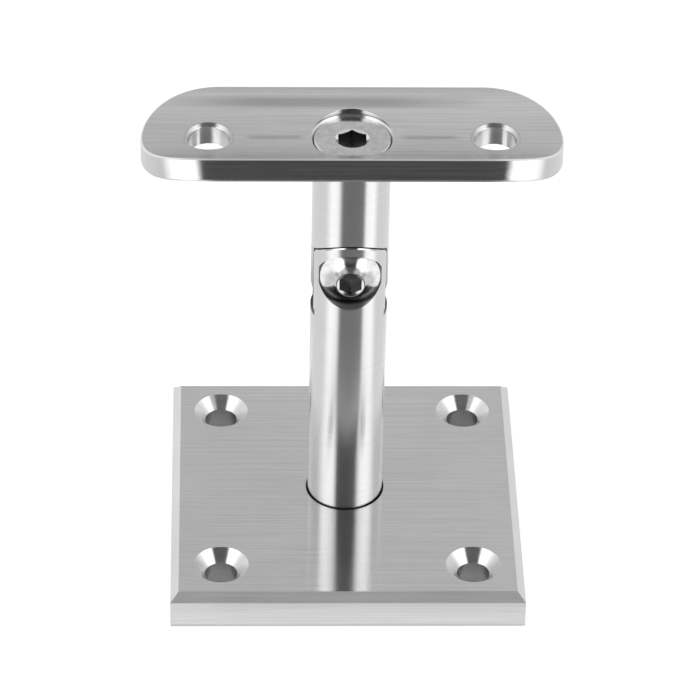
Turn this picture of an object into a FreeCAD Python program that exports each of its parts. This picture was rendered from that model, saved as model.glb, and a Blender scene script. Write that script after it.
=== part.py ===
"""Adjustable handrail bracket in satin stainless steel, built as a parametric document.

A square base plate carries a round stem that ends in a fork. A tongue on the upper stem turns in the
fork about a button head screw, and a curved saddle plate on top takes a round handrail tube.

Frame: millimetres, +Z up, origin in the middle of the base plate's underside. The handrail runs along
X, and the knuckle turns about an axis along Y whose screw head faces -Y.
"""
import FreeCAD
import Part
import Sketcher
import math
import os

# Driving dimensions
# Lengths in millimetres and angles in degrees: name, number, meaning
SIZES = [
    ("plate_side", 65.0, "side of the square base plate"),
    ("plate_thick", 7.0, "thickness of the base plate"),
    ("plate_chamfer", 1.5, "45 degree chamfer round the plate's top edge"),
    ("plate_edge_break", 0.2, "broken edge round the plate's underside"),
    ("plate_hole_inset", 9.25, "from the plate's side to the middle of a fixing hole"),
    ("plate_hole_dia", 6.0, "fixing hole"),
    ("plate_sink_dia", 10.2, "countersink of a fixing hole at the plate's top"),
    ("sink_angle", 90.0, "full angle of every countersink and countersunk head"),
    ("seat_floor", 4.5, "plate left under the lower stem"),
    ("seat_gap", 0.3, "ring gap between the lower stem and its seat in the plate"),
    ("stem_dia", 14.0, "diameter of both stems"),
    ("pivot_height", 59.0, "height of the knuckle's axis above the underside"),
    ("ear_radius", 7.7, "round top of the fork's ears"),
    ("slot_width", 5.0, "width of the fork's slot"),
    ("slot_floor_gap", 1.2, "clearance between the tongue's tip and the slot's floor"),
    ("tongue_side_gap", 0.1, "clearance on each side of the tongue"),
    ("tongue_radius", 8.0, "round tip of the tongue"),
    ("ear_break", 0.2, "broken edge round the top of an ear"),
    ("shoulder_gap", 0.4, "clearance between an ear and the hollow shoulder over it"),
    ("ear_web", 1.6, "front ear left under the pivot screw's head"),
    ("pocket_gap", 0.45, "clearance round the pivot screw's head in its pocket"),
    ("pivot_thread_dia", 6.0, "pivot screw's thread"),
    ("pivot_hole_gap", 0.1, "clearance round the pivot screw in front ear and tongue"),
    ("pivot_end_inset", 1.1, "how far the pivot screw ends inside the stem's rear side"),
    ("pivot_head_dia", 10.9, "button head of the pivot screw"),
    ("pivot_head_high", 3.3, "height of the button head"),
    ("pivot_head_rim", 0.4, "straight rim under the button head's dome"),
    ("pivot_head_flat", 5.3, "flat ring round the button head's socket"),
    ("pivot_dome_radius", 5.6, "radius of the button head's dome"),
    ("pivot_socket", 4.0, "button head's hexagon, across flats"),
    ("pivot_socket_deep", 2.2, "depth of the button head's socket"),
    ("socket_lead", 0.15, "lead-in cone of a socket beyond the hexagon's corners"),
    ("socket_slope", 30.0, "slope of a socket's lead-in cone"),
    ("thread_gap", 0.05, "clearance round a screw in its threaded hole"),
    ("thread_point", 0.7, "chamfer at the end of a thread"),
    ("saddle_reach", 26.8, "from the knuckle's axis up to the saddle's lowest inner line"),
    ("rail_dia", 42.4, "outer diameter of the handrail tube that the saddle fits"),
    ("saddle_length", 75.2, "length of the saddle plate"),
    ("saddle_thick", 4.0, "thickness of the saddle plate"),
    ("saddle_half_angle", 33.0, "angle from the middle of the saddle to its long edge"),
    ("saddle_end", 14.2, "length of the saddle's rounded end"),
    ("saddle_edge_break", 0.3, "broken edge all round the saddle's outline"),
    ("saddle_hole_inset", 12.1, "from the saddle's end to the middle of a rail hole"),
    ("saddle_hole_dia", 7.6, "rail hole"),
    ("saddle_hole_break", 0.5, "broken edge of a rail hole"),
    ("saddle_seat_gap", 0.05, "clearance between the upper stem's hollow end and the saddle"),
    ("screw_thread_dia", 8.0, "thread of the two countersunk screws"),
    ("screw_length", 12.0, "overall length of a countersunk screw"),
    ("screw_head_dia", 13.8, "countersunk head"),
    ("screw_head_rim", 0.3, "straight rim over the countersunk head's cone"),
    ("screw_head_break", 0.2, "broken edge of a countersunk head's top"),
    ("screw_socket", 5.0, "countersunk screw's hexagon, across flats"),
    ("screw_socket_deep", 3.2, "depth of the countersunk screw's socket"),
    ("screw_hole_gap", 0.2, "clearance round a countersunk screw in its plate"),
    ("sink_gap", 0.1, "clearance between a screw's cone and its countersink"),
    ("sink_wall_gap", 0.55, "clearance round a countersunk head in the saddle's hollow"),
    ("tapped_extra", 2.0, "threaded hole beyond the end of its screw"),
    ("cut_over", 1.0, "how far a cut runs past the solid"),
]

# Heights and lengths that follow from the sizes
SADDLE_LOW = "(<pivot_height> + <saddle_reach>)"
BEND_AXIS = "(<pivot_height> + <saddle_reach> + <rail_dia> / 2)"
POCKET_FLOOR = "(<slot_width> / 2 + <ear_web>)"
PIVOT_GRIP = "(<stem_dia> / 2 - <pivot_end_inset> + <slot_width> / 2 + <ear_web>)"
TONGUE_HALF = "(<slot_width> / 2 - <tongue_side_gap>)"
PIVOT_HOLE = "(<pivot_thread_dia> + 2 * <pivot_hole_gap>)"
RAIL_HOLE_X = "(<saddle_length> / 2 - <saddle_hole_inset>)"
PLATE_HOLE_XY = "(<plate_side> / 2 - <plate_hole_inset>)"
SINK_SLOPE = "tan(<sink_angle> * 1 deg / 2)"

doc = FreeCAD.newDocument("handrail_bracket")


def make_sheet():
    """Write the driving dimensions into the document's spreadsheet."""
    sheet = doc.addObject("Spreadsheet::Sheet", "Sizes")
    for row, (name, number, meaning) in enumerate(SIZES, start=1):
        sheet.set("A%d" % row, meaning)
        sheet.set("B%d" % row, str(number))
        sheet.setAlias("B%d" % row, name)
    doc.recompute()
    return sheet


sizes = make_sheet()


def bind(target, prop, formula):
    """Drive one property by a formula whose names are cells of the sheet."""
    for name, number, meaning in SIZES:
        formula = formula.replace("<%s>" % name, "Sizes.%s" % name)
    target.setExpression(prop, formula)


def make_body(label):
    """Start a sub-part."""
    body = doc.addObject("PartDesign::Body", label)
    body.Label = label
    return body


def origin_feature(body, role):
    """Find an origin plane or axis of a body by its role."""
    return next(item for item in body.Origin.OriginFeatures if item.Role == role)


def make_sketch(body, name, plane="XY_Plane", offset=None):
    """Put an empty sketch on an origin plane, moved along the plane's normal by a formula."""
    sketch = body.newObject("Sketcher::SketchObject", name)
    sketch.AttachmentSupport = [(origin_feature(body, plane), "")]
    sketch.MapMode = "FlatFace"
    if offset is not None:
        bind(sketch, ".AttachmentOffset.Base.z", offset)
    return sketch


def place_point(sketch, geometry, point, x_formula, y_formula):
    """Hold a sketch point at a distance from the sketch's origin along both axes."""
    for kind, axis, formula in (("DistanceX", -2, x_formula), ("DistanceY", -1, y_formula)):
        if formula == "0":
            sketch.addConstraint(Sketcher.Constraint("PointOnObject", geometry, point, axis))
        else:
            index = sketch.addConstraint(Sketcher.Constraint(kind, -1, 1, geometry, point, 1.0))
            bind(sketch, "Constraints[%d]" % index, formula)


def add_circle(sketch, diameter, x_formula="0", y_formula="0"):
    """Draw a circle with a driven diameter and centre."""
    circle = sketch.addGeometry(Part.Circle(FreeCAD.Vector(1, 1, 0), FreeCAD.Vector(0, 0, 1), 5), False)
    index = sketch.addConstraint(Sketcher.Constraint("Diameter", circle, 10.0))
    bind(sketch, "Constraints[%d]" % index, diameter)
    place_point(sketch, circle, 3, x_formula, y_formula)


def add_polygon(sketch, corners, closed=True):
    """Draw an outline of straight lines with driven corners."""
    rough = [FreeCAD.Vector(10 + i * i, 10 + 3 * i, 0) for i in range(len(corners) + 1)]
    lines = []
    for i in range(len(corners) if closed else len(corners) - 1):
        lines.append(sketch.addGeometry(Part.LineSegment(rough[i], rough[i + 1]), False))
    for line, following in zip(lines, lines[1:]):
        sketch.addConstraint(Sketcher.Constraint("Coincident", line, 2, following, 1))
    for line, (x_formula, y_formula) in zip(lines, corners):
        place_point(sketch, line, 1, x_formula, y_formula)
    if closed:
        sketch.addConstraint(Sketcher.Constraint("Coincident", lines[-1], 2, lines[0], 1))
    else:
        place_point(sketch, lines[-1], 2, *corners[-1])
    return lines


def add_bulge(sketch, from_line, to_line, radius_formula, radius):
    """Close the gap from one line's end to another's start by an arc that bulges to the right."""
    doc.recompute()
    start = sketch.getPoint(from_line, 2)
    end = sketch.getPoint(to_line, 1)
    middle = (start + end) * 0.5
    chord = end - start
    across = FreeCAD.Vector(chord.y, -chord.x, 0).normalize()
    centre = middle - across * math.sqrt(radius * radius - (chord.Length / 2) ** 2)
    top = centre + across * radius
    arc = sketch.addGeometry(Part.Arc(start, top, end), False)
    started = sketch.getPoint(arc, 1)
    first, last = (1, 2) if started.distanceToPoint(start) < started.distanceToPoint(end) else (2, 1)
    sketch.addConstraint(Sketcher.Constraint("Coincident", arc, first, from_line, 2))
    sketch.addConstraint(Sketcher.Constraint("Coincident", arc, last, to_line, 1))
    index = sketch.addConstraint(Sketcher.Constraint("Radius", arc, radius))
    bind(sketch, "Constraints[%d]" % index, radius_formula)


def add_hexagon(sketch, across):
    """Draw a hexagon with corners on the sketch's vertical axis."""
    side_x = "%s / 2" % across
    side_y = "%s / (2 * sqrt(3))" % across
    tip_y = "%s / sqrt(3)" % across
    add_polygon(sketch, [
        ("0", tip_y), ("-" + side_x, side_y), ("-" + side_x, "-" + side_y),
        ("0", "-" + tip_y), (side_x, "-" + side_y), (side_x, side_y)])


def add_saddle_outline(sketch, below_axis):
    """Draw the saddle's outline at a distance under the bend axis.

    Both long edges are straight. Each end is half an ellipse, and the width grows with the distance,
    so that the edges of the bent sheet stay square to its faces.
    """
    wide = "%s * tan(<saddle_half_angle> * 1 deg)" % below_axis
    # Pull of a cubic that follows a quarter ellipse
    pull = 4 * (math.sqrt(2) - 1) / 3
    ends = []
    for sign in ("", "-"):
        straight = "%s(<saddle_length> / 2 - <saddle_end>)" % sign
        pulled = "%s(<saddle_length> / 2 - <saddle_end> * %.6f)" % (sign, 1 - pull)
        tip = "%s<saddle_length> / 2" % sign
        other = "-" if sign == "" else ""
        pulled_wide = "%.6f * %s" % (pull, wide)
        poles = [
            (straight, sign + wide), (pulled, sign + wide), (tip, sign + pulled_wide), (tip, "0"),
            (tip, other + pulled_wide), (pulled, other + wide), (straight, other + wide)]
        side = 1 if sign == "" else -1
        rough = [FreeCAD.Vector(side * (5 + i), side * (9 - 3 * i), 0) for i in range(len(poles))]
        handles = []
        for point in rough:
            handles.append(sketch.addGeometry(Part.Circle(point, FreeCAD.Vector(0, 0, 1), 1), True))
        sketch.addConstraint(Sketcher.Constraint("Weight", handles[0], 1.0))
        for handle in handles[1:]:
            sketch.addConstraint(Sketcher.Constraint("Equal", handles[0], handle))
        curve = Part.BSplineCurve()
        curve.buildFromPolesMultsKnots(rough, [4, 3, 4], [0, 1, 2], False, 3)
        end = sketch.addGeometry(curve, False)
        for i, handle in enumerate(handles):
            sketch.addConstraint(Sketcher.Constraint(
                "InternalAlignment:Sketcher::BSplineControlPoint", handle, 3, end, i))
            place_point(sketch, handle, 3, *poles[i])
        ends.append(end)
    for first, second in ((ends[0], ends[1]), (ends[1], ends[0])):
        line = sketch.addGeometry(
            Part.LineSegment(FreeCAD.Vector(2, 3, 0), FreeCAD.Vector(-2, 4, 0)), False)
        sketch.addConstraint(Sketcher.Constraint("Coincident", first, 2, line, 1))
        sketch.addConstraint(Sketcher.Constraint("Coincident", line, 2, second, 1))


def settle(feature, grows, base=None):
    """Recompute and make sure that the feature added or removed material."""
    base = base or feature.BaseFeature
    before = base.Shape.Volume if base else 0.0
    doc.recompute()
    change = feature.Shape.Volume - before
    if change == 0.0 or (change > 0.0) != grows:
        raise RuntimeError("%s changes the volume by %.3f" % (feature.Label, change))
    return feature


def extrude(kind, sketch, name, length=None, both=False, back=False):
    """Pad or pocket a sketch by a formula's length, or right through where none is given."""
    body = sketch.getParentGeoFeatureGroup()
    feature = body.newObject("PartDesign::" + kind, name)
    feature.Profile = sketch
    if length is None:
        feature.Type = "ThroughAll"
    else:
        bind(feature, "Length", length)
    if both:
        feature.SideType = "Symmetric"
    feature.Reversed = back
    return settle(feature, kind == "Pad")


def turn(kind, sketch, name, axis="Z_Axis"):
    """Revolve or groove a sketch all the way round an axis of its body."""
    body = sketch.getParentGeoFeatureGroup()
    feature = body.newObject("PartDesign::" + kind, name)
    feature.Profile = sketch
    feature.ReferenceAxis = (origin_feature(body, axis), [""])
    return settle(feature, kind == "Revolution")


def drill(sketch, name, diameter, depth=None, sink=None, up=False, pointed=False):
    """Drill the circles of a sketch, with a countersink where a diameter is given."""
    body = sketch.getParentGeoFeatureGroup()
    doc.recompute()
    feature = body.newObject("PartDesign::Hole", name)
    feature.Profile = sketch
    feature.Reversed = up
    bind(feature, "Diameter", diameter)
    if depth is None:
        feature.DepthType = "ThroughAll"
    else:
        bind(feature, "Depth", depth)
    feature.DrillPoint = "Angled" if pointed else "Flat"
    if sink is not None:
        feature.HoleCutType = "Countersink"
        feature.HoleCutCustomValues = True
        bind(feature, "HoleCutDiameter", sink)
        bind(feature, "HoleCutCountersinkAngle", "<sink_angle>")
    return settle(feature, False)


def mirror(feature, name, plane):
    """Repeat a cut on the other side of an origin plane."""
    body = feature.getParentGeoFeatureGroup()
    copy = body.newObject("PartDesign::Mirrored", name)
    copy.Originals = [feature]
    copy.MirrorPlane = (origin_feature(body, plane), [""])
    body.Tip = copy
    return settle(copy, False, feature)


def level_edges(feature, height):
    """Name the edges that lie flat at one height."""
    named = enumerate(feature.Shape.Edges, start=1)
    return ["Edge%d" % i for i, edge in named if all(abs(end.Z - height) < 1e-6 for end in edge.Vertexes)]


def round_edges(feature, radius, other=None):
    """Name the edges of the round faces of one radius, or only those shared with another radius."""
    found = []
    for wanted in (radius, radius if other is None else other):
        faces = [face for face in feature.Shape.Faces if isinstance(face.Surface, Part.Cylinder)]
        faces = [face for face in faces if abs(face.Surface.Radius - wanted) < 1e-6]
        found.append([edge for face in faces for edge in face.Edges])
    named = enumerate(feature.Shape.Edges, start=1)
    return ["Edge%d" % i for i, edge in named
            if all(any(edge.isSame(item) for item in edges) for edges in found)]


def break_edges(feature, name, edges, size):
    """Chamfer named edges."""
    body = feature.getParentGeoFeatureGroup()
    cut = body.newObject("PartDesign::Chamfer", name)
    cut.Base = (feature, edges)
    bind(cut, "Size", size)
    return settle(cut, False)


def trim_to_stem(body, name):
    """Turn a body down to the stem's diameter."""
    ring = make_sketch(body, name + "_ring")
    add_circle(ring, "<stem_dia>")
    add_circle(ring, "2 * (<stem_dia> + <ear_radius> + <tongue_radius>)")
    return extrude("Pocket", ring, name, both=True)


def cut_screw_seat(body, name, top, inward):
    """Cut the bore, the countersink and the wall round a countersunk head.

    The head's top lies at the formula's height, and its screw points up or down by the sign.
    """
    wall = "(<screw_head_dia> / 2 + <sink_wall_gap>)"
    bore = "(<screw_thread_dia> / 2 + <screw_hole_gap>)"
    cone = "(<screw_head_dia> / 2 + <sink_gap>)"
    wall_end = "(<screw_head_rim> - (%s - %s) / %s)" % (wall, cone, SINK_SLOPE)
    bore_start = "(<screw_head_rim> + (%s - %s) / %s)" % (cone, bore, SINK_SLOPE)
    outside = "(<rail_dia> / 2)"
    inside = "<screw_length>"
    sketch = make_sketch(body, name + "_profile", "XZ_Plane")
    depths = [("0", "-" + outside), (wall, "-" + outside), (wall, wall_end),
              (bore, bore_start), (bore, inside), ("0", inside)]
    add_polygon(sketch, [(x, "%s %s (%s)" % (top, inward, depth)) for x, depth in depths])
    return turn("Groove", sketch, name)


def cut_socket(body, across, depth, top):
    """Cut a hexagon socket with its lead-in cone into a head whose top is at a height."""
    hexagon = make_sketch(body, "socket_hexagon", "XY_Plane", top)
    add_hexagon(hexagon, across)
    extrude("Pocket", hexagon, "socket", depth)
    lead = "(%s / sqrt(3) + <socket_lead>)" % across
    cone = make_sketch(body, "socket_lead_profile", "XZ_Plane")
    tip = "%s - %s * tan(<socket_slope> * 1 deg)" % (top, lead)
    add_polygon(cone, [("0", top), (lead, top), ("0", tip)])
    return turn("Groove", cone, "socket_lead_in")


def make_base_plate():
    """Make the chamfered square plate with its stem seat, fixing holes and screw seat."""
    body = make_body("base_plate")
    half = "<plate_side> / 2"
    square = make_sketch(body, "plate_outline")
    add_polygon(square, [(half, half), ("-" + half, half), ("-" + half, "-" + half), (half, "-" + half)])
    plate = extrude("Pad", square, "plate", "<plate_thick>")
    top = level_edges(plate, float(sizes.get("plate_thick")))
    plate = break_edges(plate, "top_chamfer", top, "<plate_chamfer>")
    break_edges(plate, "underside_break", level_edges(plate, 0.0), "<plate_edge_break>")
    seat = make_sketch(body, "stem_seat_circle", "XY_Plane", "<plate_thick>")
    add_circle(seat, "<stem_dia> + 2 * <seat_gap>")
    extrude("Pocket", seat, "stem_seat", "<plate_thick> - <seat_floor>")
    cut_screw_seat(body, "base_screw_seat", "0", "+")
    corner = make_sketch(body, "fixing_hole_circle", "XY_Plane", "<plate_thick>")
    add_circle(corner, "<plate_hole_dia>", PLATE_HOLE_XY, PLATE_HOLE_XY)
    hole = drill(corner, "fixing_hole", "<plate_hole_dia>", sink="<plate_sink_dia>")
    pattern = body.newObject("PartDesign::PolarPattern", "fixing_holes")
    pattern.Originals = [hole]
    pattern.Axis = (origin_feature(body, "Z_Axis"), [""])
    pattern.Angle = 360
    pattern.Occurrences = 4
    body.Tip = pattern
    settle(pattern, False, hole)
    return body


def make_lower_stem():
    """Make the lower stem with its fork, screw pocket and threaded holes."""
    body = make_body("lower_stem")
    round_bar = make_sketch(body, "bar_circle", "XY_Plane", "<seat_floor>")
    add_circle(round_bar, "<stem_dia>")
    extrude("Pad", round_bar, "bar", "<pivot_height> - <seat_floor>")
    ear = make_sketch(body, "ear_circle", "XZ_Plane")
    add_circle(ear, "2 * <ear_radius>", "0", "<pivot_height>")
    extrude("Pad", ear, "ear_round", "<stem_dia> + 2 * <cut_over>", both=True)
    trim_to_stem(body, "bar_turned")
    slot = make_sketch(body, "slot_outline", "YZ_Plane")
    side = "<slot_width> / 2"
    floor = "<pivot_height> - <tongue_radius> - <slot_floor_gap>"
    top = "<pivot_height> + <ear_radius> + <cut_over>"
    add_polygon(slot, [(side, floor), (side, top), ("-" + side, top), ("-" + side, floor)])
    extrude("Pocket", slot, "slot", both=True)
    pocket = make_sketch(body, "pocket_circle", "XZ_Plane", POCKET_FLOOR)
    add_circle(pocket, "<pivot_head_dia> + 2 * <pocket_gap>", "0", "<pivot_height>")
    extrude("Pocket", pocket, "head_pocket", back=True)
    front = make_sketch(body, "front_bore_circle", "XZ_Plane")
    add_circle(front, PIVOT_HOLE, "0", "<pivot_height>")
    extrude("Pocket", front, "front_bore", back=True)
    rear = make_sketch(body, "rear_thread_circle", "XZ_Plane")
    add_circle(rear, "<pivot_thread_dia> + 2 * <thread_gap>", "0", "<pivot_height>")
    extrude("Pocket", rear, "rear_thread")
    tapped = make_sketch(body, "base_thread_circle", "XY_Plane", "<seat_floor>")
    add_circle(tapped, "<screw_thread_dia> + 2 * <thread_gap>")
    stem = drill(tapped, "base_thread", "<screw_thread_dia> + 2 * <thread_gap>",
                 "<screw_length> - <seat_floor> + <tapped_extra>", up=True, pointed=True)
    tops = round_edges(stem, float(sizes.get("ear_radius")))
    break_edges(stem, "ear_top_breaks", tops, "<ear_break>")
    return body


def make_upper_stem():
    """Make the upper stem with its tongue, hollow shoulders and hollow top end."""
    body = make_body("upper_stem")
    round_bar = make_sketch(body, "bar_circle", "XY_Plane", "<pivot_height>")
    add_circle(round_bar, "<stem_dia>")
    extrude("Pad", round_bar, "bar", "<saddle_reach>")
    end = make_sketch(body, "saddle_circle", "YZ_Plane")
    add_circle(end, "<rail_dia> + 2 * (<saddle_thick> + <saddle_seat_gap>)", "0", BEND_AXIS)
    extrude("Pocket", end, "hollow_end", both=True)
    shoulder = make_sketch(body, "shoulder_circle", "XZ_Plane", TONGUE_HALF)
    add_circle(shoulder, "2 * (<ear_radius> + <shoulder_gap>)", "0", "<pivot_height>")
    front = extrude("Pocket", shoulder, "front_shoulder", back=True)
    mirror(front, "rear_shoulder", "XZ_Plane")
    tongue = make_sketch(body, "tongue_circle", "XZ_Plane")
    add_circle(tongue, "2 * <tongue_radius>", "0", "<pivot_height>")
    extrude("Pad", tongue, "tongue", "2 * " + TONGUE_HALF, both=True)
    trim_to_stem(body, "bar_turned")
    pivot = make_sketch(body, "pivot_bore_circle", "XZ_Plane")
    add_circle(pivot, PIVOT_HOLE, "0", "<pivot_height>")
    extrude("Pocket", pivot, "pivot_bore", both=True)
    tapped = make_sketch(body, "saddle_thread_circle", "XY_Plane", SADDLE_LOW)
    add_circle(tapped, "<screw_thread_dia> + 2 * <thread_gap>")
    drill(tapped, "saddle_thread", "<screw_thread_dia> + 2 * <thread_gap>",
          "<screw_length> + <tapped_extra>", pointed=True)
    return body


def make_pivot_screw():
    """Make the button head screw that the knuckle turns about."""
    body = make_body("pivot_screw")
    thread = "<pivot_thread_dia> / 2"
    profile = make_sketch(body, "screw_profile", "XZ_Plane")
    lines = add_polygon(profile, [
        ("<pivot_head_dia> / 2", "<pivot_head_rim>"), ("<pivot_head_dia> / 2", "0"), (thread, "0"),
        (thread, "-(%s - <thread_point>)" % PIVOT_GRIP), (thread + " - <thread_point>", "-" + PIVOT_GRIP),
        ("0", "-" + PIVOT_GRIP), ("0", "<pivot_head_high>"), ("<pivot_head_flat> / 2", "<pivot_head_high>")],
        closed=False)
    add_bulge(profile, lines[-1], lines[0], "<pivot_dome_radius>", float(sizes.get("pivot_dome_radius")))
    turn("Revolution", profile, "turned_screw")
    cut_socket(body, "<pivot_socket>", "<pivot_socket_deep>", "<pivot_head_high>")
    body.Placement = FreeCAD.Placement(
        FreeCAD.Vector(0, 0, 0), FreeCAD.Rotation(FreeCAD.Vector(1, 0, 0), 90))
    bind(body, ".Placement.Base.y", "-" + POCKET_FLOOR)
    bind(body, ".Placement.Base.z", "<pivot_height>")
    return body


def make_countersunk_screw(label, height, turned):
    """Make a countersunk screw whose head's top lies at a height."""
    body = make_body(label)
    head = "<screw_head_dia> / 2"
    thread = "<screw_thread_dia> / 2"
    cone_end = "(<screw_head_rim> + (%s - %s) / %s)" % (head, thread, SINK_SLOPE)
    profile = make_sketch(body, "screw_profile", "XZ_Plane")
    add_polygon(profile, [
        ("0", "0"), (head + " - <screw_head_break>", "0"), (head, "-<screw_head_break>"),
        (head, "-<screw_head_rim>"), (thread, "-" + cone_end),
        (thread, "-(<screw_length> - <thread_point>)"), (thread + " - <thread_point>", "-<screw_length>"),
        ("0", "-<screw_length>")])
    turn("Revolution", profile, "turned_screw")
    cut_socket(body, "<screw_socket>", "<screw_socket_deep>", "0")
    body.Placement = FreeCAD.Placement(
        FreeCAD.Vector(0, 0, 0), FreeCAD.Rotation(FreeCAD.Vector(1, 0, 0), turned))
    bind(body, ".Placement.Base.z", height)
    return body


def make_saddle_plate():
    """Make the bent plate under the handrail, with its rail holes and the screw's seat."""
    body = make_body("saddle_plate")
    inner = "<rail_dia> / 2"
    deep = "(%s + <saddle_thick> + <cut_over>)" % inner
    shallow = "(%s * cos(<saddle_half_angle> * 1 deg) - <cut_over>)" % inner
    low = make_sketch(body, "low_outline", "XY_Plane", "%s - %s" % (BEND_AXIS, deep))
    add_saddle_outline(low, deep)
    high = make_sketch(body, "high_outline", "XY_Plane", "%s - %s" % (BEND_AXIS, shallow))
    add_saddle_outline(high, shallow)
    blank = body.newObject("PartDesign::AdditiveLoft", "blank")
    blank.Profile = low
    blank.Sections = [high]
    blank.Ruled = True
    settle(blank, True)
    hollow = make_sketch(body, "hollow_circle", "YZ_Plane")
    add_circle(hollow, "<rail_dia>", "0", BEND_AXIS)
    extrude("Pocket", hollow, "rail_hollow", both=True)
    outside = make_sketch(body, "outside_ring", "YZ_Plane")
    add_circle(outside, "<rail_dia> + 2 * <saddle_thick>", "0", BEND_AXIS)
    add_circle(outside, "4 * <rail_dia>", "0", BEND_AXIS)
    bent = extrude("Pocket", outside, "outside_round", both=True)
    inside_radius = float(sizes.get("rail_dia")) / 2
    outside_radius = inside_radius + float(sizes.get("saddle_thick"))
    outline = round_edges(bent, inside_radius) + round_edges(bent, outside_radius)
    break_edges(bent, "outline_break", outline, "<saddle_edge_break>")
    cut_screw_seat(body, "saddle_screw_seat", SADDLE_LOW, "-")
    rail_hole = make_sketch(body, "rail_hole_circle", "XY_Plane", SADDLE_LOW)
    add_circle(rail_hole, "<saddle_hole_dia>", RAIL_HOLE_X)
    hole = extrude("Pocket", rail_hole, "rail_hole", both=True)
    holes = mirror(hole, "rail_holes", "YZ_Plane")
    rims = round_edges(holes, inside_radius, float(sizes.get("saddle_hole_dia")) / 2)
    break_edges(holes, "rail_hole_rims", rims, "<saddle_hole_break>")
    return body


os.makedirs("parts", exist_ok=True)
parts = [
    make_base_plate(), make_lower_stem(), make_upper_stem(), make_saddle_plate(), make_pivot_screw(),
    make_countersunk_screw("saddle_screw", SADDLE_LOW, 0), make_countersunk_screw("base_screw", "0 mm", 180)]
doc.recompute()

for item in doc.Objects:
    if "Invalid" in item.State or "Error" in item.State:
        raise RuntimeError("%s failed to build" % item.Label)
for part in parts:
    if part.Shape.isNull() or not part.Shape.isValid() or len(part.Shape.Solids) != 1:
        raise RuntimeError("%s isn't one valid solid" % part.Label)
for part in parts:
    part.Shape.exportStep("parts/%s.step" % part.Label)
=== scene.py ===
"""Finishes, studio and camera for a stainless handrail bracket, laid out as a Blender add-on."""
import math

import bpy
from mathutils import Matrix, Vector


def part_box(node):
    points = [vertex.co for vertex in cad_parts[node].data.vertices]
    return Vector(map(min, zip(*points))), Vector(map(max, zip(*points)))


bl_info = {
    "name": "Handrail bracket finishes",
    "version": (1, 0, 0),
    "blender": (4, 5, 0),
    "location": "3D View > Sidebar > Bracket",
    "description": "Satin stainless finishes, studio and camera for an adjustable handrail bracket",
    "category": "Material",
}

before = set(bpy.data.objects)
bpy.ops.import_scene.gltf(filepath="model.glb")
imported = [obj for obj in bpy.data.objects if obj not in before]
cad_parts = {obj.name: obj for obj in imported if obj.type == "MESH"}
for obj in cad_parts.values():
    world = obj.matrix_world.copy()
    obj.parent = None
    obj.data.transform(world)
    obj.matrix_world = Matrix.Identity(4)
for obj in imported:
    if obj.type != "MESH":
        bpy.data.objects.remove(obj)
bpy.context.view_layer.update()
plate_low, plate_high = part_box("base_plate")

MM = 0.001
PLATE_EDGE, PLATE_TOP = plate_high[0], plate_high[2]

# Places of the marks on the steel: from, to, and how soft the ends are.
# A limit that the value never reaches leaves that end open.
# The front and back chamfers, darkened as painted shade
CHAMFER, CHAMFER_BLUR = 1.5 * MM, 0.04 * MM
AHEAD = (0.0, 1.0, 0.01 * MM)
# A darker line beside the saddle's screw
SCREW_SIDE_LINE_LENGTH = (9 * MM, 18.5 * MM, 1 * MM)
SCREW_SIDE_LINE_WIDTH = (-0.3 * MM, 0.8 * MM, 0.25 * MM)
# A dark band across the saddle behind its screw, a painted reflection
REFLECTION_BAND_LENGTH = (-27 * MM, 15 * MM, 10 * MM)
REFLECTION_BAND_WIDTH = (7.7 * MM, 9.6 * MM, 0.5 * MM)
RAIL_HOLE = 25.5 * MM
HOLE_RIM = (3.83 * MM, 4.4 * MM, 0.03 * MM)
LINE_WEIGHT, RIM_WEIGHT = 0.4, 0.5
# The fork's slot floor and the tongue in it, darkened as painted shade
FORK_SLOT = (-1 * MM, 3.02 * MM, 0.02 * MM)
SLOT_FLOOR = (49 * MM, 50.3 * MM, 0.1 * MM)
TONGUE_HEIGHT = (0.0, 63.5 * MM, 0.3 * MM)
TONGUE_FADE = {"From Min": 56 * MM, "From Max": 62 * MM, "To Min": 0.6, "To Max": 0.25}
# A hexagon socket, darkened as painted shade, from under its lead-in cone to below its floor, and
# out to its corners
SOCKET_START, SOCKET_END, SOCKET_END_BLUR = 0.3 * MM, 5 * MM, 0.05 * MM
CORNER_ROOM, CORNER_BLUR = 0.03 * MM, 0.02 * MM

# Grain: how many spacings long a scratch or a ring's arc is, and the noise that draws it
GRAIN_LENGTH = {"X": (80, 1, 1), "ROUND": (60, 60, 1), "EVEN": (1, 1, 1)}
FINE_NOISE = {"Scale": 1.0, "Detail": 3.0, "Roughness": 0.6}
# Uneven patches about 11 mm across, as hand and belt leave them
PATCH_NOISE = {"Scale": 90.0, "Detail": 2.0, "Roughness": 0.5}
PATCH_SHARE = 0.25
MIDDLE_GREY = 0.5
CROSSED_FACE = (0.45, 2.0, 0.15)
DARK_AT, LIGHT_AT = 0.32, 0.62
SMOOTH_AT, ROUGH_AT = 0.3, 0.7
GROOVE_DEPTH = 0.02 * MM
TANGENT_PUSH = (0.003, 0.002, 0.001)

# Studio as the steel mirrors it: a dark strip over the camera, soft boxes beside it, a pale back.
# Each stop is a position and a brightness over STUDIO_PEAK.
STUDIO_PEAK = 2.0
# By the angle from the camera side, in half turns, on the floor and behind the bracket
FLOOR_ROUND = [(0.0, 0.11), (0.173, 0.11), (0.228, 0.75), (0.35, 0.8), (0.45, 0.5), (1.0, 0.48)]
BACK_ROUND = [
    (0.0, 0.85), (0.5, 0.85), (0.62, 0.55), (0.7, 0.6), (0.82, 0.74), (0.92, 0.39), (1.0, 0.37)]
# The boxes and the strip from the camera side, over the top, to the back, as half of 1 + Y
BOX_ALONG = [(0.0, 1.4), (0.4, 1.4), (0.52, 0.52), (1.0, 0.6)]
STRIP_ALONG = [
    (0.0, 0.02), (0.08, 0.02), (0.12, 0.08), (0.18, 0.08), (0.25, 0.02), (0.36, 0.02), (0.4, 0.55),
    (0.66, 0.45)]
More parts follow.
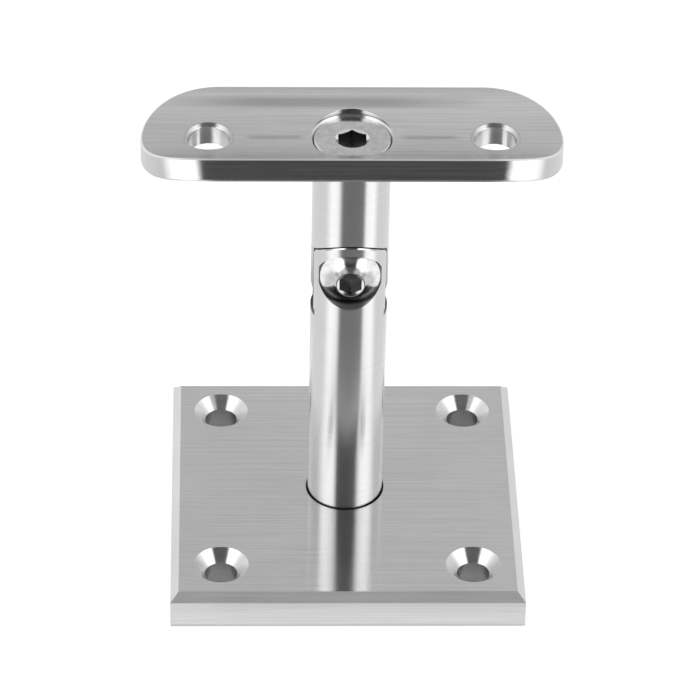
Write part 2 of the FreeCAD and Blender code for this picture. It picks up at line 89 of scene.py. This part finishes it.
# By height: the boxes' share of their brightness, and half the strip's width
BOX_UP = [(0.0, 0.6), (0.2, 0.6), (0.42, 1.0)]
STRIP_WIDTH = [(0.0, 0.585), (0.6, 0.4), (1.0, 0.54)]
STRIP_EDGE = 0.06
# The strip and the boxes end a little behind the top, by Y
FRONT_END, BACK_START = 0.2, 0.34
ROOM_LIGHT, PAPER_GLOW = 0.45, 0.55
# The paper next to the plate, out to where the studio's stretches begin, past the plate's edge
NEAR_PAPER = 0.6
NEAR_END, FAR_START = 8 * MM, 14 * MM
# Under the plate the paper loses its glow, a painted shadow
COVERED_RIM = 1 * MM
FLOOR_GAP = 0.02 * MM
LAMP_PLACE, LAMP_AIM = Vector((-0.35, -0.25, 1.1)), Vector((0, 0, 0.04))

PHOTO_WIDTH = 700
SENSOR_WIDTH = 36
FAR_CLIP = 20


class BracketFinish(bpy.types.PropertyGroup):
    """Colours and surface sizes of the stainless steel."""
    sheet_light: bpy.props.StringProperty(
        name="Sheet, light", description="Lighter colour of the brushed plate and saddle",
        default="#D2D2D2")
    sheet_dark: bpy.props.StringProperty(
        name="Sheet, dark", description="Darker colour in the brushed plate's scratches",
        default="#C2C2C2")
    bar_light: bpy.props.StringProperty(
        name="Bar, light", description="Lighter colour of the turned round bar", default="#D2D2D2")
    bar_dark: bpy.props.StringProperty(
        name="Bar, dark", description="Darker colour in the round bar's turning marks",
        default="#CCCCCC")
    screw_light: bpy.props.StringProperty(
        name="Screw, light", description="Lighter colour of the cold forged screws",
        default="#CDCDCD")
    screw_dark: bpy.props.StringProperty(
        name="Screw, dark", description="Darker colour in the screws' fine pits", default="#B6B6B6")
    # Real scratches and turning marks lie under 0.1 mm apart: these are coarser, so that they show
    sheet_scratch: bpy.props.FloatProperty(
        name="Sheet scratch spacing",
        description="Distance between brushed scratches on the plates",
        default=0.35 * MM, unit="LENGTH", subtype="DISTANCE")
    bar_scratch: bpy.props.FloatProperty(
        name="Bar scratch spacing", description="Distance between turning marks on the round bar",
        default=0.25 * MM, unit="LENGTH", subtype="DISTANCE")
    screw_pit: bpy.props.FloatProperty(
        name="Screw pit spacing", description="Distance between the tumbled screws' shallow pits",
        default=1.2 * MM, unit="LENGTH", subtype="DISTANCE")


class StudioStage(bpy.types.PropertyGroup):
    """Camera and studio sizes."""
    azimuth: bpy.props.FloatProperty(
        name="Azimuth", description="Turn of the view from looking along +Y",
        default=math.radians(-2.1278), unit="ROTATION", subtype="ANGLE")
    elevation: bpy.props.FloatProperty(
        name="Elevation", description="How far the camera looks down",
        default=math.radians(36.7398), unit="ROTATION", subtype="ANGLE")
    roll: bpy.props.FloatProperty(
        name="Roll", description="Turn of the camera about its own line of sight",
        default=math.radians(1.3213), unit="ROTATION", subtype="ANGLE")
    distance: bpy.props.FloatProperty(
        name="Distance", description="From the camera to the height that it aims at",
        default=0.80496, unit="LENGTH", subtype="DISTANCE")
    aim_height: bpy.props.FloatProperty(
        name="Aim height", description="Point on the stem's axis that the camera is set from",
        default=0.03, unit="LENGTH", subtype="DISTANCE")
    aim_right: bpy.props.FloatProperty(
        name="Aim right",
        description="How far right of the picture's middle that point stands, in widths",
        default=-3.266 / PHOTO_WIDTH)
    aim_down: bpy.props.FloatProperty(
        name="Aim down",
        description="How far under the picture's middle that point stands, in widths",
        default=38.464 / PHOTO_WIDTH)
    zoom: bpy.props.FloatProperty(
        name="Zoom", description="Focal length in picture widths", default=4346.874 / PHOTO_WIDTH)
    studio_turn: bpy.props.FloatProperty(
        name="Studio turn", description="Turn of the soft boxes about the upright axis",
        default=math.radians(-2.5), unit="ROTATION", subtype="ANGLE")
    floor_turn: bpy.props.FloatProperty(
        name="Floor turn", description="Turn of the floor's darker stretch about the upright axis",
        default=math.radians(-4.9), unit="ROTATION", subtype="ANGLE")
    floor_size: bpy.props.FloatProperty(
        name="Floor size", description="Side of the studio floor",
        default=6.0, unit="LENGTH", subtype="DISTANCE")
    floor_colour: bpy.props.StringProperty(
        name="Floor colour", description="Colour of the white paper", default="#F2F2F2")
    lamp_size: bpy.props.FloatProperty(
        name="Lamp size", description="Side of the square soft lamp above",
        default=0.9, unit="LENGTH", subtype="DISTANCE")
    lamp_power: bpy.props.FloatProperty(
        name="Lamp power", description="Power of the soft lamp above", default=3.0, unit="POWER")


def linear(hex_colour):
    """Turn an sRGB hex colour into the linear colour that a shader takes."""
    channels = [int(hex_colour[i:i + 2], 16) / 255 for i in (1, 3, 5)]
    turned = [c / 12.92 if c <= 0.04045 else ((c + 0.055) / 1.055) ** 2.4 for c in channels]
    return (*turned, 1.0)


def add_node(tree, kind, settings=None, values=None, links=None):
    """Add a node with its settings, its constant inputs and its links."""
    node = tree.nodes.new(kind)
    for name, setting in (settings or {}).items():
        setattr(node, name, setting)
    for key, value in (values or {}).items():
        node.inputs[key].default_value = value
    for key, socket in (links or {}).items():
        tree.links.new(socket, node.inputs[key])
    return node


def set_ramp(node, stops):
    """Give a colour ramp its stops: position and colour, or position and grey."""
    ramp = node.color_ramp
    while len(ramp.elements) > 1:
        ramp.elements.remove(ramp.elements[-1])
    for i, (position, colour) in enumerate(stops):
        element = ramp.elements[0] if i == 0 else ramp.elements.new(position)
        element.position = position
        if isinstance(colour, (int, float)):
            colour = (colour, colour, colour, 1.0)
        element.color = colour


def new_material(name):
    """Start a material with only its output."""
    material = bpy.data.materials.new(name)
    material.use_nodes = True
    material.node_tree.nodes.clear()
    return material


def folded_parts(tree, vector):
    """Split a vector into its parts without their signs, as the bracket's two sides are alike."""
    folded = add_node(tree, "ShaderNodeVectorMath", {"operation": "ABSOLUTE"}, links={0: vector})
    return add_node(tree, "ShaderNodeSeparateXYZ", links={0: folded.outputs["Vector"]})


def round_angle(tree, direction, turn):
    """Turn a direction with the studio, and find its angle from the camera side in half turns."""
    turned = add_node(
        tree, "ShaderNodeMapping", values={"Rotation": (0.0, 0.0, turn)},
        links={"Vector": direction}).outputs["Vector"]
    sides = add_node(tree, "ShaderNodeSeparateXYZ", links={0: turned})
    spans = folded_parts(tree, turned)
    front = add_node(
        tree, "ShaderNodeMath", {"operation": "MULTIPLY"}, {1: -1.0}, {0: sides.outputs["Y"]})
    angle = add_node(
        tree, "ShaderNodeMath", {"operation": "ARCTAN2"},
        links={0: spans.outputs["X"], 1: front.outputs[0]})
    angle = add_node(
        tree, "ShaderNodeMath", {"operation": "DIVIDE"}, {1: math.pi}, {0: angle.outputs[0]})
    return angle.outputs[0], sides, spans


def mirrored_apart(tree, seen, mirrored):
    """Show the camera one shader, and another in what the steel mirrors."""
    rays = add_node(tree, "ShaderNodeLightPath")
    mirror_rays = add_node(
        tree, "ShaderNodeMath", {"operation": "MAXIMUM"},
        links={0: rays.outputs["Is Glossy Ray"], 1: rays.outputs["Is Transmission Ray"]})
    return add_node(
        tree, "ShaderNodeMixShader",
        links={0: mirror_rays.outputs[0], 1: seen, 2: mirrored}).outputs["Shader"]


def zone(tree, *limits):
    """Mark where each value lies between its limits: the value, and its low, high and blur."""
    inside = None
    for value, (low, high, blur) in limits:
        for limit, before, after in ((low, 0.0, 1.0), (high, 1.0, 0.0)):
            step = add_node(
                tree, "ShaderNodeMapRange",
                values={"From Min": limit - blur, "From Max": limit + blur,
                        "To Min": before, "To Max": after},
                links={"Value": value}).outputs["Result"]
            if inside is None:
                inside = step
                continue
            inside = add_node(
                tree, "ShaderNodeMath", {"operation": "MULTIPLY"},
                links={0: inside, 1: step}).outputs[0]
    return inside


def chamfer_mark(tree, place):
    """Mark the plate's front and back chamfers, ground by hand across the brushed scratches, where
    the steel is darkened as painted shade.
    """
    sides = add_node(tree, "ShaderNodeSeparateXYZ", links={0: place})
    spans = folded_parts(tree, place)
    reach = add_node(
        tree, "ShaderNodeMath", {"operation": "MAXIMUM"},
        links={0: spans.outputs["X"], 1: spans.outputs["Y"]})
    ahead = add_node(
        tree, "ShaderNodeMath", {"operation": "SUBTRACT"},
        links={0: spans.outputs["Y"], 1: spans.outputs["X"]})
    return zone(
        tree,
        (reach.outputs[0], (PLATE_EDGE - CHAMFER, PLATE_EDGE + CHAMFER, CHAMFER_BLUR)),
        (sides.outputs["Z"], (PLATE_TOP - CHAMFER, PLATE_TOP + CHAMFER, CHAMFER_BLUR)),
        (ahead.outputs[0], AHEAD))


def saddle_mark(tree, place):
    """Mark the saddle: a darker line beside its screw, a dark band behind as a painted reflection,
    and the hole rims, rougher and darker.
    """
    sides = add_node(tree, "ShaderNodeSeparateXYZ", links={0: place})
    spans = folded_parts(tree, place)
    line = zone(
        tree, (spans.outputs["X"], SCREW_SIDE_LINE_LENGTH), (sides.outputs["Y"], SCREW_SIDE_LINE_WIDTH))
    reflection_band = zone(
        tree, (sides.outputs["X"], REFLECTION_BAND_LENGTH), (sides.outputs["Y"], REFLECTION_BAND_WIDTH))
    from_hole = add_node(
        tree, "ShaderNodeMath", {"operation": "SUBTRACT"}, {1: RAIL_HOLE}, {0: spans.outputs["X"]})
    offset = add_node(
        tree, "ShaderNodeCombineXYZ", links={0: from_hole.outputs[0], 1: sides.outputs["Y"]})
    radius = add_node(
        tree, "ShaderNodeVectorMath", {"operation": "LENGTH"}, links={0: offset.outputs[0]})
    rim = add_node(
        tree, "ShaderNodeMath", {"operation": "MULTIPLY"}, {1: RIM_WEIGHT},
        {0: zone(tree, (radius.outputs["Value"], HOLE_RIM))})
    lines = add_node(tree, "ShaderNodeMath", {"operation": "ADD"}, links={0: line, 1: reflection_band})
    return add_node(
        tree, "ShaderNodeMath", {"operation": "MULTIPLY_ADD", "use_clamp": True}, {1: LINE_WEIGHT},
        {0: lines.outputs[0], 2: rim.outputs[0]}).outputs[0]


def tongue_mark(tree, place):
    """Mark the tongue between the fork's ears for painted shade, darkest at its lower end."""
    sides = add_node(tree, "ShaderNodeSeparateXYZ", links={0: place})
    spans = folded_parts(tree, place)
    fade = add_node(
        tree, "ShaderNodeMapRange", values=TONGUE_FADE, links={"Value": sides.outputs["Z"]})
    inside = zone(tree, (spans.outputs["Y"], FORK_SLOT), (sides.outputs["Z"], TONGUE_HEIGHT))
    return add_node(
        tree, "ShaderNodeMath", {"operation": "MULTIPLY"},
        links={0: inside, 1: fade.outputs["Result"]}).outputs[0]


def slot_mark(tree, place):
    """Mark the floor of the fork's slot for painted shade; the marked box also takes in the bar's
    outside just under the slot's ends.
    """
    sides = add_node(tree, "ShaderNodeSeparateXYZ", links={0: place})
    spans = folded_parts(tree, place)
    return zone(tree, (spans.outputs["Y"], FORK_SLOT), (sides.outputs["Z"], SLOT_FLOOR))


def socket_mark(node, axis, side, corner):
    """Make the function that marks a hexagon socket's walls and floor, under its lead-in cone, for
    painted shade.
    """
    low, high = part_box(node)
    face = (high if side > 0 else low)[axis]
    depth = sorted((face - side * SOCKET_START, face - side * SOCKET_END))

    def mark(tree, place):
        sides = add_node(tree, "ShaderNodeSeparateXYZ", links={0: place})
        reach = [
            add_node(
                tree, "ShaderNodeMath", {"operation": "SUBTRACT"}, {1: (low[i] + high[i]) / 2},
                {0: sides.outputs[i]}).outputs[0]
            for i in range(3) if i != axis]
        offset = add_node(tree, "ShaderNodeCombineXYZ", links={0: reach[0], 1: reach[1]})
        radius = add_node(
            tree, "ShaderNodeVectorMath", {"operation": "LENGTH"}, links={0: offset.outputs[0]})
        return zone(
            tree,
            (radius.outputs["Value"], (-corner, corner + CORNER_ROOM, CORNER_BLUR)),
            (sides.outputs[axis], (*depth, SOCKET_END_BLUR)))
    return mark


def lay_grain(tree, place, along, scratch):
    """Lay fine scratches along X, rings round the upright axis, or even pits."""
    stretch = [1 / (length * scratch) for length in GRAIN_LENGTH[along]]
    stretched = add_node(
        tree, "ShaderNodeMapping", values={"Scale": stretch},
        links={"Vector": place.outputs["Object"]})
    fine = add_node(
        tree, "ShaderNodeTexNoise", values=FINE_NOISE,
        links={"Vector": stretched.outputs["Vector"]}).outputs["Fac"]
    if along != "X":
        return fine
    # Scratches along X don't show on the faces that they would have to cross
    facing = folded_parts(tree, place.outputs["Normal"])
    return add_node(
        tree, "ShaderNodeMix", {"data_type": "FLOAT"}, {3: MIDDLE_GREY},
        {"Factor": zone(tree, (facing.outputs["X"], CROSSED_FACE)), 2: fine}).outputs[0]


def across_grain(tree, place, along, turned):
    """Find the direction across the grain, and turn the grain from X to Y where a mark says so."""
    if turned is not None:
        kept = add_node(
            tree, "ShaderNodeMapRange", values={"To Min": 1.0, "To Max": 0.0},
            links={"Value": turned})
        direction = add_node(
            tree, "ShaderNodeCombineXYZ", links={0: kept.outputs["Result"], 1: turned})
    elif along == "X":
        direction = add_node(tree, "ShaderNodeCombineXYZ", values={0: 1.0})
    else:
        sides = add_node(tree, "ShaderNodeSeparateXYZ", links={0: place.outputs["Object"]})
        back = add_node(
            tree, "ShaderNodeMath", {"operation": "MULTIPLY"}, {1: -1.0}, {0: sides.outputs["Y"]})
        direction = add_node(
            tree, "ShaderNodeCombineXYZ", links={0: back.outputs[0], 1: sides.outputs["X"]})
    turned_out = add_node(
        tree, "ShaderNodeVectorTransform",
        {"vector_type": "VECTOR", "convert_from": "OBJECT", "convert_to": "WORLD"},
        links={"Vector": direction.outputs[0]})
    facing = add_node(tree, "ShaderNodeNewGeometry")
    across = add_node(
        tree, "ShaderNodeVectorMath", {"operation": "CROSS_PRODUCT"},
        links={0: facing.outputs["Normal"], 1: turned_out.outputs["Vector"]})
    # The push keeps a direction where the grain runs straight into a face
    return add_node(
        tree, "ShaderNodeVectorMath", {"operation": "ADD"}, {1: TANGENT_PUSH},
        {0: across.outputs["Vector"]}).outputs["Vector"]


def stainless(name, colours, along, scratch, settings, mark):
    """Build a stainless steel from its colours, its grain and a mark that makes it rougher and
    darker, the darkening mostly painted shade.
    """
    light, dark = colours
    material = new_material(name)
    tree = material.node_tree
    place = add_node(tree, "ShaderNodeTexCoord")
    marked = mark(tree, place.outputs["Object"])
    grain = lay_grain(tree, place, along, scratch)
    patches = add_node(
        tree, "ShaderNodeTexNoise", values=PATCH_NOISE, links={"Vector": place.outputs["Object"]})
    mixed = add_node(
        tree, "ShaderNodeMix", {"data_type": "FLOAT"}, {"Factor": PATCH_SHARE},
        {2: grain, 3: patches.outputs["Fac"]}).outputs[0]
    tone = add_node(tree, "ShaderNodeValToRGB", links={"Fac": mixed})
    set_ramp(tone, [(DARK_AT, linear(dark)), (LIGHT_AT, linear(light))])
    # Painted shade: ambient occlusion darkens the colour in gaps and inner corners
    recess = add_node(
        tree, "ShaderNodeAmbientOcclusion", {"samples": 8}, {"Distance": settings["recess"]})
    recess_shade = add_node(
        tree, "ShaderNodeMapRange",
        values={"From Min": settings["closed"], "From Max": settings["open"],
                "To Min": settings["recess_shade"], "To Max": 1.0},
        links={"Value": recess.outputs["AO"]})
    shade = add_node(
        tree, "ShaderNodeMapRange", values={"To Min": 1.0, "To Max": settings["mark_shade"]},
        links={"Value": marked})
    tone = tone.outputs["Color"]
    for darker in (recess_shade, shade):
        tone = add_node(
            tree, "ShaderNodeMix", {"data_type": "RGBA", "blend_type": "MULTIPLY"}, {0: 1.0},
            {6: tone, 7: darker.outputs["Result"]}).outputs[2]
    rough = add_node(
        tree, "ShaderNodeMapRange",
        values={"From Min": SMOOTH_AT, "From Max": ROUGH_AT,
                "To Min": settings["smooth"], "To Max": settings["rough"]},
        links={"Value": mixed})
    rough = add_node(
        tree, "ShaderNodeMix", {"data_type": "FLOAT"}, {3: settings["mark_rough"]},
        {"Factor": marked, 2: rough.outputs["Result"]})
    values = {"Metallic": 1.0}
    links = {"Base Color": tone, "Roughness": rough.outputs[0]}
    if "groove" in settings:
        grooves = add_node(
            tree, "ShaderNodeBump",
            values={"Strength": settings["groove"], "Distance": GROOVE_DEPTH},
            links={"Height": grain})
        links["Normal"] = grooves.outputs["Normal"]
    if "stretch" in settings:
        values["Anisotropic"] = settings["stretch"]
        links["Tangent"] = across_grain(
            tree, place, along, marked if settings.get("mark_across") else None)
    steel = add_node(tree, "ShaderNodeBsdfPrincipled", values=values, links=links)
    add_node(tree, "ShaderNodeOutputMaterial", links={"Surface": steel.outputs["BSDF"]})
    return material


def dress(node, material):
    """Give a node's slots a material."""
    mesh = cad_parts[node].data
    for i in range(len(mesh.materials)):
        mesh.materials[i] = material


class BRACKET_OT_finish_sheet(bpy.types.Operator):
    """Brush the base plate and the saddle along the handrail"""
    bl_idname = "bracket.finish_sheet"
    bl_label = "Finish plate and saddle"

    def execute(self, context):
        finish = context.scene.bracket_finish
        # Grade 304 sheet brushed on a belt: scratches along X blur reflections across them only
        sheet = {"smooth": 0.2, "rough": 0.24, "groove": 0.08, "stretch": 1.0,
                 "recess": 1.2 * MM, "closed": 0.2, "open": 0.8, "recess_shade": 0.12}
        # The plate's mark_shade paints shade on its front and back chamfers
        plate = sheet | {"mark_rough": 0.35, "mark_shade": 0.5, "mark_across": True}
        # The saddle's mark_shade paints a dark reflection band, a darker line and darker hole rims
        saddle = sheet | {"mark_rough": 0.45, "mark_shade": 0.6}
        for node, name, settings, mark in (
                ("base_plate", "brushed_304_stainless_plate", plate, chamfer_mark),
                ("saddle_plate", "brushed_304_stainless_saddle", saddle, saddle_mark)):
            dress(node, stainless(
                name, (finish.sheet_light, finish.sheet_dark), "X", finish.sheet_scratch,
                settings, mark))
        return {"FINISHED"}


class BRACKET_OT_finish_bars(bpy.types.Operator):
    """Finish the two stems as round bar polished in the lathe"""
    bl_idname = "bracket.finish_bars"
    bl_label = "Finish stems"

    def execute(self, context):
        finish = context.scene.bracket_finish
        # Grade 304 bar polished while it turns: fine rings blur reflections up and down only
        # mark_shade paints shade on the slot's floor and the tongue
        bar = {"smooth": 0.2, "rough": 0.23, "stretch": 0.85,
               "recess": 1.2 * MM, "closed": 0.2, "open": 0.8, "recess_shade": 0.15,
               "mark_rough": 0.4, "mark_shade": 0.15}
        for node, name, mark in (
                ("lower_stem", "lathe_polished_304_stainless_fork", slot_mark),
                ("upper_stem", "lathe_polished_304_stainless_tongue", tongue_mark)):
            dress(node, stainless(
                name, (finish.bar_light, finish.bar_dark), "ROUND", finish.bar_scratch, bar, mark))
        return {"FINISHED"}


class BRACKET_OT_finish_screws(bpy.types.Operator):
    """Finish the three screws as plain cold forged steel"""
    bl_idname = "bracket.finish_screws"
    bl_label = "Finish screws"

    def execute(self, context):
        finish = context.scene.bracket_finish
        # Cold forged A2 screw, tumbled bright: smooth with a slightly uneven shine
        # mark_shade paints shade in the hexagon sockets
        screw = {"smooth": 0.15, "rough": 0.19,
                 "recess": 0.6 * MM, "closed": 0.3, "open": 0.7, "recess_shade": 0.6,
                 "mark_rough": 0.2, "mark_shade": 0.3}
        for node, axis, side, across_flats in (
                ("pivot_screw", 1, -1, 4 * MM),
                ("saddle_screw", 2, 1, 5 * MM),
                ("base_screw", 2, -1, 5 * MM)):
            mark = socket_mark(node, axis, side, across_flats / math.sqrt(3))
            dress(node, stainless(
                "tumbled_a2_stainless_" + node, (finish.screw_light, finish.screw_dark), "EVEN",
                finish.screw_pit, screw, mark))
        return {"FINISHED"}


class BRACKET_OT_build_floor(bpy.types.Operator):
    """Lay the white studio floor under the bracket"""
    bl_idname = "bracket.build_floor"
    bl_label = "Build floor"

    def execute(self, context):
        studio = context.scene.bracket_studio
        bpy.ops.object.select_all(action="DESELECT")
        bpy.ops.mesh.primitive_plane_add(
            size=studio.floor_size, location=(0, 0, plate_low[2] - FLOOR_GAP))
        floor = context.object
        floor.name = "studio_floor"
        bpy.ops.object.transform_apply(location=True, rotation=True, scale=True)
        # Matt white paper sweep, with a darker stretch in front where the unlit camera side begins
        material = new_material("matt_white_paper_floor")
        tree = material.node_tree
        place = add_node(tree, "ShaderNodeTexCoord").outputs["Object"]
        angle, _, _ = round_angle(tree, place, studio.floor_turn)
        stretches = add_node(tree, "ShaderNodeValToRGB", links={"Fac": angle})
        set_ramp(stretches, FLOOR_ROUND)
        spans = folded_parts(tree, place)
        reach = add_node(
            tree, "ShaderNodeMath", {"operation": "MAXIMUM"},
            links={0: spans.outputs["X"], 1: spans.outputs["Y"]}).outputs[0]
        away = add_node(
            tree, "ShaderNodeMapRange",
            values={"From Min": PLATE_EDGE + NEAR_END, "From Max": PLATE_EDGE + FAR_START},
            links={"Value": reach})
        glimpsed = add_node(
            tree, "ShaderNodeMix", {"data_type": "RGBA"},
            {6: (NEAR_PAPER, NEAR_PAPER, NEAR_PAPER, 1.0)},
            {0: away.outputs["Result"], 7: stretches.outputs["Color"]})
        mirrored = add_node(
            tree, "ShaderNodeEmission", values={"Strength": STUDIO_PEAK},
            links={"Color": glimpsed.outputs[2]})
        paper = add_node(
            tree, "ShaderNodeBsdfDiffuse", values={"Color": linear(studio.floor_colour)})
        glow = add_node(tree, "ShaderNodeEmission", values={"Strength": PAPER_GLOW})
        white = add_node(
            tree, "ShaderNodeAddShader",
            links={0: paper.outputs["BSDF"], 1: glow.outputs["Emission"]})
        lit = mirrored_apart(tree, white.outputs["Shader"], mirrored.outputs["Emission"])
        # Painted shadow: under the plate the paper's glow is taken away, so the holes show it dark
        uncovered = add_node(
            tree, "ShaderNodeMapRange",
            values={"From Min": PLATE_EDGE - COVERED_RIM, "From Max": PLATE_EDGE},
            links={"Value": reach})
        shaded = add_node(
            tree, "ShaderNodeMixShader",
            links={0: uncovered.outputs["Result"], 1: paper.outputs["BSDF"], 2: lit})
        add_node(tree, "ShaderNodeOutputMaterial", links={"Surface": shaded.outputs["Shader"]})
        floor.data.materials.append(material)
        return {"FINISHED"}


class BRACKET_OT_light_studio(bpy.types.Operator):
    """Light the bracket with a plain pale studio"""
    bl_idname = "bracket.light_studio"
    bl_label = "Light studio"

    def execute(self, context):
        studio = context.scene.bracket_studio
        world = bpy.data.worlds.new("pale_studio")
        context.scene.world = world
        world.use_nodes = True
        tree = world.node_tree
        tree.nodes.clear()
        place = add_node(tree, "ShaderNodeTexCoord")
        angle, sides, spans = round_angle(tree, place.outputs["Generated"], studio.studio_turn)
        along = add_node(
            tree, "ShaderNodeMath", {"operation": "MULTIPLY_ADD"}, {1: 0.5, 2: 0.5},
            {0: sides.outputs["Y"]}).outputs[0]
        up = sides.outputs["Z"]
        ramps = []
        for value, stops in (
                (angle, BACK_ROUND), (along, BOX_ALONG), (along, STRIP_ALONG), (up, BOX_UP),
                (up, STRIP_WIDTH)):
            ramps.append(add_node(tree, "ShaderNodeValToRGB", links={"Fac": value}))
            set_ramp(ramps[-1], stops)
        back, box, strip, share, width = ramps
        box = add_node(
            tree, "ShaderNodeMix", {"data_type": "RGBA", "blend_type": "MULTIPLY"}, {0: 1.0},
            {6: box.outputs["Color"], 7: share.outputs["Color"]})
        aside = add_node(
            tree, "ShaderNodeMath", {"operation": "SUBTRACT"},
            links={0: spans.outputs["X"], 1: width.outputs["Color"]})
        boxed = add_node(
            tree, "ShaderNodeMapRange", values={"From Min": -STRIP_EDGE, "From Max": STRIP_EDGE},
            links={"Value": aside.outputs[0]})
        front = add_node(
            tree, "ShaderNodeMix", {"data_type": "RGBA"},
            links={0: boxed.outputs["Result"], 6: strip.outputs["Color"], 7: box.outputs[2]})
        behind = add_node(
            tree, "ShaderNodeMapRange", values={"From Min": FRONT_END, "From Max": BACK_START},
            links={"Value": sides.outputs["Y"]})
        glimpsed = add_node(
            tree, "ShaderNodeMix", {"data_type": "RGBA"},
            links={0: behind.outputs["Result"], 6: front.outputs[2], 7: back.outputs["Color"]})
        mirrored = add_node(
            tree, "ShaderNodeBackground", values={"Strength": STUDIO_PEAK},
            links={"Color": glimpsed.outputs[2]})
        room = add_node(
            tree, "ShaderNodeBackground", values={"Color": (1, 1, 1, 1), "Strength": ROOM_LIGHT})
        white = add_node(
            tree, "ShaderNodeBackground", values={"Color": (1, 1, 1, 1), "Strength": 1.0})
        rays = add_node(tree, "ShaderNodeLightPath")
        shown = add_node(
            tree, "ShaderNodeMixShader",
            links={0: rays.outputs["Is Camera Ray"], 1: room.outputs["Background"],
                   2: white.outputs["Background"]})
        lit = mirrored_apart(tree, shown.outputs["Shader"], mirrored.outputs["Background"])
        add_node(tree, "ShaderNodeOutputWorld", links={"Surface": lit})
        bpy.ops.object.light_add(type="AREA", location=LAMP_PLACE)
        lamp = context.object
        lamp.name = "soft_top_lamp"
        lamp.data.size = studio.lamp_size
        lamp.data.energy = studio.lamp_power
        lamp.rotation_euler = (LAMP_AIM - LAMP_PLACE).to_track_quat("-Z", "Y").to_euler()
        # The steel mirrors the studio's own soft boxes, so this lamp only drops the shadow
        lamp.visible_glossy = False
        return {"FINISHED"}


class BRACKET_OT_place_camera(bpy.types.Operator):
    """Place the camera at the photograph's angle"""
    bl_idname = "bracket.place_camera"
    bl_label = "Place camera"

    def execute(self, context):
        studio = context.scene.bracket_studio
        turn, look = studio.azimuth, studio.elevation
        ahead = Vector(
            (-math.sin(turn) * math.cos(look), math.cos(turn) * math.cos(look), -math.sin(look)))
        level = Vector((math.cos(turn), math.sin(turn), 0))
        upright = level.cross(ahead)
        right = level * math.cos(studio.roll) + upright * math.sin(studio.roll)
        up = upright * math.cos(studio.roll) - level * math.sin(studio.roll)
        step = studio.distance / studio.zoom
        place = Vector((0, 0, studio.aim_height)) - ahead * studio.distance
        place += up * (studio.aim_down * step) - right * (studio.aim_right * step)
        bpy.ops.object.camera_add()
        camera = context.object
        camera.name = "photo_camera"
        camera.data.sensor_width = SENSOR_WIDTH
        camera.data.lens = SENSOR_WIDTH * studio.zoom
        camera.data.clip_end = FAR_CLIP
        camera.matrix_world = (
            Matrix.Translation(place) @ Matrix((right, up, -ahead)).transposed().to_4x4())
        context.scene.camera = camera
        return {"FINISHED"}


class BRACKET_PT_panel(bpy.types.Panel):
    """Lists the bracket's operators and sizes"""
    bl_idname = "BRACKET_PT_panel"
    bl_label = "Handrail bracket"
    bl_space_type = "VIEW_3D"
    bl_region_type = "UI"
    bl_category = "Bracket"

    def draw(self, context):
        layout = self.layout
        for group in (context.scene.bracket_finish, context.scene.bracket_studio):
            column = layout.column()
            for name in group.__annotations__:
                column.prop(group, name)
        for operator in OPERATORS:
            layout.operator(operator.bl_idname)


OPERATORS = (
    BRACKET_OT_finish_sheet, BRACKET_OT_finish_bars, BRACKET_OT_finish_screws,
    BRACKET_OT_build_floor, BRACKET_OT_light_studio, BRACKET_OT_place_camera)
CLASSES = (BracketFinish, StudioStage, *OPERATORS, BRACKET_PT_panel)


def register():
    """Register the classes and hang the settings on the scene."""
    for item in CLASSES:
        bpy.utils.register_class(item)
    bpy.types.Scene.bracket_finish = bpy.props.PointerProperty(type=BracketFinish)
    bpy.types.Scene.bracket_studio = bpy.props.PointerProperty(type=StudioStage)


def unregister():
    """Take the settings and classes away again."""
    del bpy.types.Scene.bracket_studio
    del bpy.types.Scene.bracket_finish
    for item in reversed(CLASSES):
        bpy.utils.unregister_class(item)


def main():
    """Finish the bracket, build the studio and place the camera."""
    register()
    bpy.context.scene.view_settings.view_transform = "Standard"
    bpy.ops.bracket.finish_sheet()
    bpy.ops.bracket.finish_bars()
    bpy.ops.bracket.finish_screws()
    bpy.ops.bracket.build_floor()
    bpy.ops.bracket.light_studio()
    bpy.ops.bracket.place_camera()


if __name__ == "__main__":
    main()
